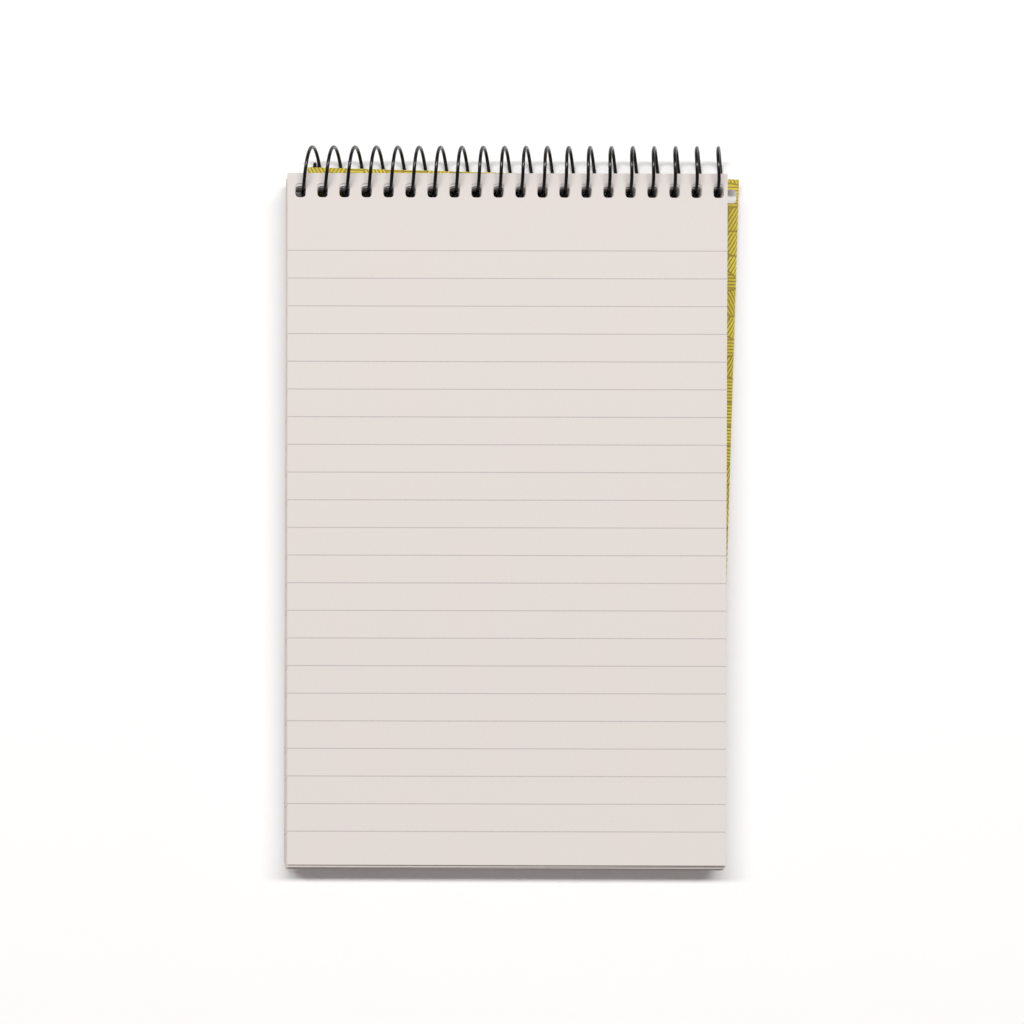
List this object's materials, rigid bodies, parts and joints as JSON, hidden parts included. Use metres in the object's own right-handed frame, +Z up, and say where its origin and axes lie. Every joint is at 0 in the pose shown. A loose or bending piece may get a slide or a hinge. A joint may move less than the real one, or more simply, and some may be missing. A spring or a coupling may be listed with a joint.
{
  "type": "spiral notebook",
  "caption": "Top-bound spiral notebook with feint-ruled leaves that turn over a wire coil, shown with its printed card cover folded round to the back.",
  "frame": {"origin": "on the table under the middle of the notebook", "axes": "+X along the binding to the right, +Y from the sheets towards the coil, +Z up from the table, with the ruled pages facing up"},
  "size_m": [0.1332, 0.2106, 0.0153],
  "materials": {
    "coil_wire": "gloss black coating on steel wire",
    "grey_board": "uncoated grey board",
    "printed_card": "card printed with an olive-yellow hatched pattern",
    "ruled_paper": "matt writing paper, feint ruled on both faces"
  },
  "bodies": {
    "pad": {"binding_coil": "coil_wire", "back_board": "grey_board"},
    "front_cover": {"front_cover": "printed_card"},
    "leaf_01": {"leaf_01": "ruled_paper"},
    "leaf_02": {"leaf_02": "ruled_paper"},
    "leaf_03": {"leaf_03": "ruled_paper"},
    "leaf_04": {"leaf_04": "ruled_paper"},
    "leaf_05": {"leaf_05": "ruled_paper"},
    "leaf_06": {"leaf_06": "ruled_paper"},
    "leaf_07": {"leaf_07": "ruled_paper"},
    "leaf_08": {"leaf_08": "ruled_paper"},
    "leaves_09_to_16": {"leaf_09": "ruled_paper", "leaf_10": "ruled_paper", "leaf_11": "ruled_paper", "leaf_12": "ruled_paper", "leaf_13": "ruled_paper", "leaf_14": "ruled_paper", "leaf_15": "ruled_paper", "leaf_16": "ruled_paper"},
    "leaves_17_to_24": {"leaf_17": "ruled_paper", "leaf_18": "ruled_paper", "leaf_19": "ruled_paper", "leaf_20": "ruled_paper", "leaf_21": "ruled_paper", "leaf_22": "ruled_paper", "leaf_23": "ruled_paper", "leaf_24": "ruled_paper"},
    "leaves_25_to_32": {"leaf_25": "ruled_paper", "leaf_26": "ruled_paper", "leaf_27": "ruled_paper", "leaf_28": "ruled_paper", "leaf_29": "ruled_paper", "leaf_30": "ruled_paper", "leaf_31": "ruled_paper", "leaf_32": "ruled_paper"},
    "leaves_33_to_44": {"leaves_33_34": "ruled_paper", "leaves_35_36": "ruled_paper", "leaves_37_38": "ruled_paper", "leaves_39_40": "ruled_paper", "leaves_41_42": "ruled_paper", "leaves_43_44": "ruled_paper"},
    "leaves_45_to_56": {"leaves_45_46": "ruled_paper", "leaves_47_48": "ruled_paper", "leaves_49_50": "ruled_paper", "leaves_51_52": "ruled_paper", "leaves_53_54": "ruled_paper", "leaves_55_56": "ruled_paper"},
    "leaves_57_to_68": {"leaves_57_58": "ruled_paper", "leaves_59_60": "ruled_paper", "leaves_61_62": "ruled_paper", "leaves_63_64": "ruled_paper", "leaves_65_66": "ruled_paper", "leaves_67_68": "ruled_paper"},
    "leaves_69_to_80": {"leaves_69_70": "ruled_paper", "leaves_71_72": "ruled_paper", "leaves_73_74": "ruled_paper", "leaves_75_76": "ruled_paper", "leaves_77_78": "ruled_paper", "leaves_79_80": "ruled_paper"}
  },
  "joints": [
    {"name": "front_cover_turn", "type": "hinge", "parent": "pad", "child": "front_cover", "pos_m": [0, 0.09762, 0.00765], "axis": [1, 0, 0], "range_deg": [0, 180], "deforming": ["binding_coil"]},
    {"name": "leaf_01_turn", "type": "hinge", "parent": "leaf_02", "child": "leaf_01", "pos_m": [0, 0.09762, 0.00765], "axis": [1, 0, 0], "range_deg": [-180, 0], "deforming": ["binding_coil"]},
    {"name": "leaf_02_turn", "type": "hinge", "parent": "leaf_03", "child": "leaf_02", "pos_m": [0, 0.09762, 0.00765], "axis": [1, 0, 0], "range_deg": [-180, 0], "deforming": ["binding_coil"]},
    {"name": "leaf_03_turn", "type": "hinge", "parent": "leaf_04", "child": "leaf_03", "pos_m": [0, 0.09762, 0.00765], "axis": [1, 0, 0], "range_deg": [-180, 0], "deforming": ["binding_coil"]},
    {"name": "leaf_04_turn", "type": "hinge", "parent": "leaf_05", "child": "leaf_04", "pos_m": [0, 0.09762, 0.00765], "axis": [1, 0, 0], "range_deg": [-180, 0], "deforming": ["binding_coil"]},
    {"name": "leaf_05_turn", "type": "hinge", "parent": "leaf_06", "child": "leaf_05", "pos_m": [0, 0.09762, 0.00765], "axis": [1, 0, 0], "range_deg": [-180, 0], "deforming": ["binding_coil"]},
    {"name": "leaf_06_turn", "type": "hinge", "parent": "leaf_07", "child": "leaf_06", "pos_m": [0, 0.09762, 0.00765], "axis": [1, 0, 0], "range_deg": [-180, 0], "deforming": ["binding_coil"]},
    {"name": "leaf_07_turn", "type": "hinge", "parent": "leaf_08", "child": "leaf_07", "pos_m": [0, 0.09762, 0.00765], "axis": [1, 0, 0], "range_deg": [-180, 0], "deforming": ["binding_coil"]},
    {"name": "leaf_08_turn", "type": "hinge", "parent": "leaves_09_to_16", "child": "leaf_08", "pos_m": [0, 0.09762, 0.00765], "axis": [1, 0, 0], "range_deg": [-180, 0], "deforming": ["binding_coil"]},
    {"name": "leaves_09_to_16_turn", "type": "hinge", "parent": "leaves_17_to_24", "child": "leaves_09_to_16", "pos_m": [0, 0.09762, 0.00765], "axis": [1, 0, 0], "range_deg": [-180, 0], "deforming": ["binding_coil"]},
    {"name": "leaves_17_to_24_turn", "type": "hinge", "parent": "leaves_25_to_32", "child": "leaves_17_to_24", "pos_m": [0, 0.09762, 0.00765], "axis": [1, 0, 0], "range_deg": [-180, 0], "deforming": ["binding_coil"]},
    {"name": "leaves_25_to_32_turn", "type": "hinge", "parent": "leaves_33_to_44", "child": "leaves_25_to_32", "pos_m": [0, 0.09762, 0.00765], "axis": [1, 0, 0], "range_deg": [-180, 0], "deforming": ["binding_coil"]},
    {"name": "leaves_33_to_44_turn", "type": "hinge", "parent": "leaves_45_to_56", "child": "leaves_33_to_44", "pos_m": [0, 0.09762, 0.00765], "axis": [1, 0, 0], "range_deg": [-180, 0], "deforming": ["binding_coil"]},
    {"name": "leaves_45_to_56_turn", "type": "hinge", "parent": "leaves_57_to_68", "child": "leaves_45_to_56", "pos_m": [0, 0.09762, 0.00765], "axis": [1, 0, 0], "range_deg": [-180, 0], "deforming": ["binding_coil"]},
    {"name": "leaves_57_to_68_turn", "type": "hinge", "parent": "leaves_69_to_80", "child": "leaves_57_to_68", "pos_m": [0, 0.09762, 0.00765], "axis": [1, 0, 0], "range_deg": [-180, 0], "deforming": ["binding_coil"]},
    {"name": "leaves_69_to_80_turn", "type": "hinge", "parent": "pad", "child": "leaves_69_to_80", "pos_m": [0, 0.09762, 0.00765], "axis": [1, 0, 0], "range_deg": [-180, 0], "deforming": ["binding_coil"]}
  ]
}
